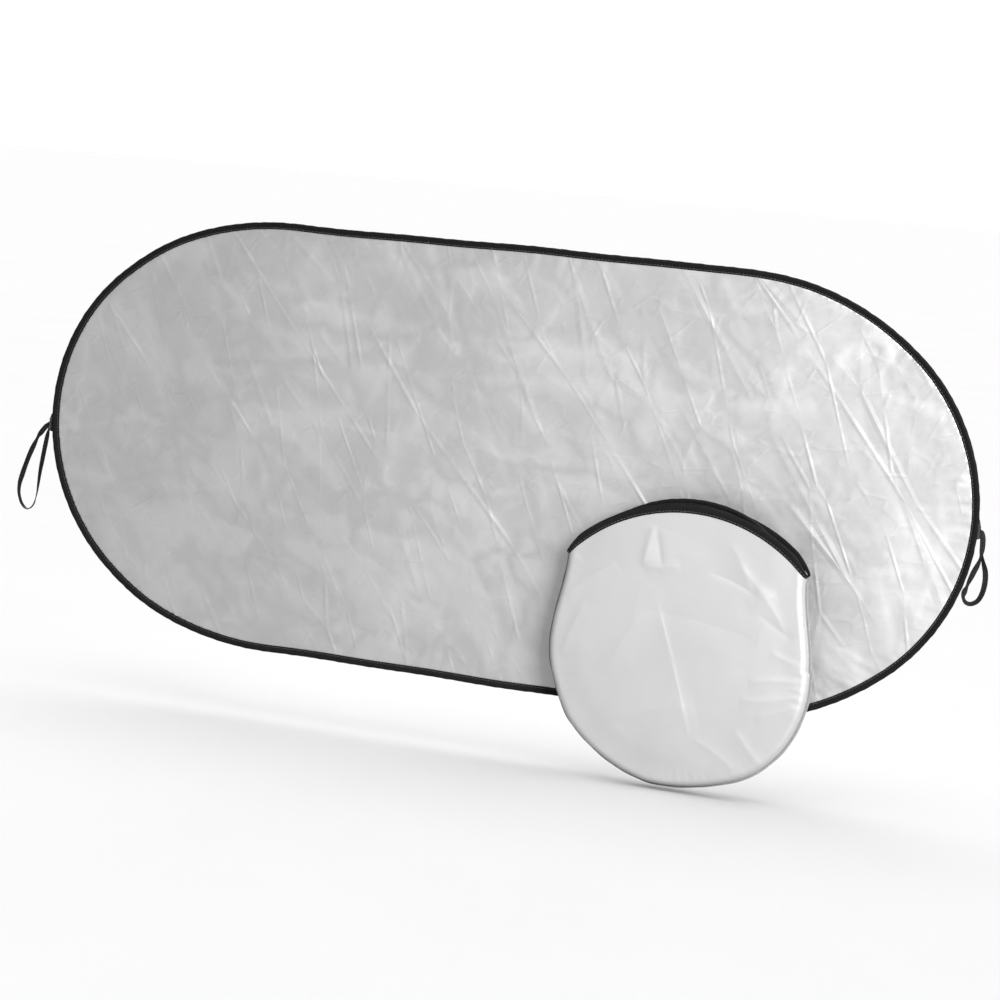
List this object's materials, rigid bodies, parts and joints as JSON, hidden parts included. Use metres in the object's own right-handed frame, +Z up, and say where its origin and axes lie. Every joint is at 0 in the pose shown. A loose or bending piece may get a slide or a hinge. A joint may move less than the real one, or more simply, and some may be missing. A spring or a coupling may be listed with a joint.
{
  "type": "pop-up reflector panel with pouch",
  "caption": "Oval pop-up reflector of silvered cloth on a sprung hoop, with bound edge and hanging loops, and a round pouch holding a folded one.",
  "frame": {"origin": "centre of the open panel, midway between the two places where the hanging loops are sewn on", "axes": "+X along the panel to its right end, -Y the way its silvered face looks, +Z up"},
  "size_m": [1.1517, 0.0487, 0.5765],
  "materials": {
    "silver_cloth": "aluminised woven polyester, crinkled, satin metallic sheen",
    "pouch_cloth": "silver-coated woven nylon, smooth, soft folds",
    "binding": "charcoal folded binding tape, ribbed weave",
    "thread": "charcoal sewing thread",
    "elastic": "black braided flat elastic",
    "spring_steel": "flat tempered spring steel"
  },
  "bodies": {
    "right_panel": {"reflector_cloth_right": "silver_cloth", "edge_binding_right": "binding", "edge_stitching_right": "thread", "spring_band_right": "spring_steel", "band_sleeve": "spring_steel", "right_loop_tack": "elastic"},
    "left_panel": {"reflector_cloth_left": "silver_cloth", "edge_binding_left": "binding", "edge_stitching_left": "thread", "spring_band_left": "spring_steel", "left_loop_tack": "elastic"},
    "left_loop": {"left_loop": "elastic"},
    "right_loop": {"right_loop": "elastic"},
    "pouch": {"pouch_front": "pouch_cloth", "pouch_back": "pouch_cloth", "pouch_seam": "pouch_cloth", "mouth_binding_front": "binding", "mouth_binding_back": "binding", "mouth_stitching_front": "thread", "mouth_stitching_back": "thread"},
    "folded_reflector": {"folded_binding_front": "binding", "folded_binding_middle": "binding", "folded_binding_back": "binding", "folded_band_front": "spring_steel", "folded_band_middle": "spring_steel", "folded_band_back": "spring_steel", "folded_cloth_front": "silver_cloth", "folded_cloth_middle": "silver_cloth", "folded_cloth_back": "silver_cloth"}
  },
  "joints": [
    {"name": "panel_bend", "type": "hinge", "parent": "right_panel", "child": "left_panel", "pos_m": [0, 0.0032, 0], "axis": [0, 0, -1], "range_deg": [0, 150], "stiffness_Nm_per_rad": 0.4},
    {"name": "left_loop_swing", "type": "hinge", "parent": "left_panel", "child": "left_loop", "pos_m": [-0.55495, 0, -0.018], "axis": [0, 1, 0], "range_deg": [0, 140]},
    {"name": "right_loop_swing", "type": "hinge", "parent": "right_panel", "child": "right_loop", "pos_m": [0.55495, 0, -0.008], "axis": [0, -1, 0], "range_deg": [0, 140]},
    {"name": "pouch_away", "type": "slide", "parent": "right_panel", "child": "pouch", "axis": [0, -1, 0], "range_m": [0, 0.25]},
    {"name": "reflector_draw", "type": "slide", "parent": "pouch", "child": "folded_reflector", "axis": [0, 0, 1], "range_m": [0, 0.3]}
  ]
}
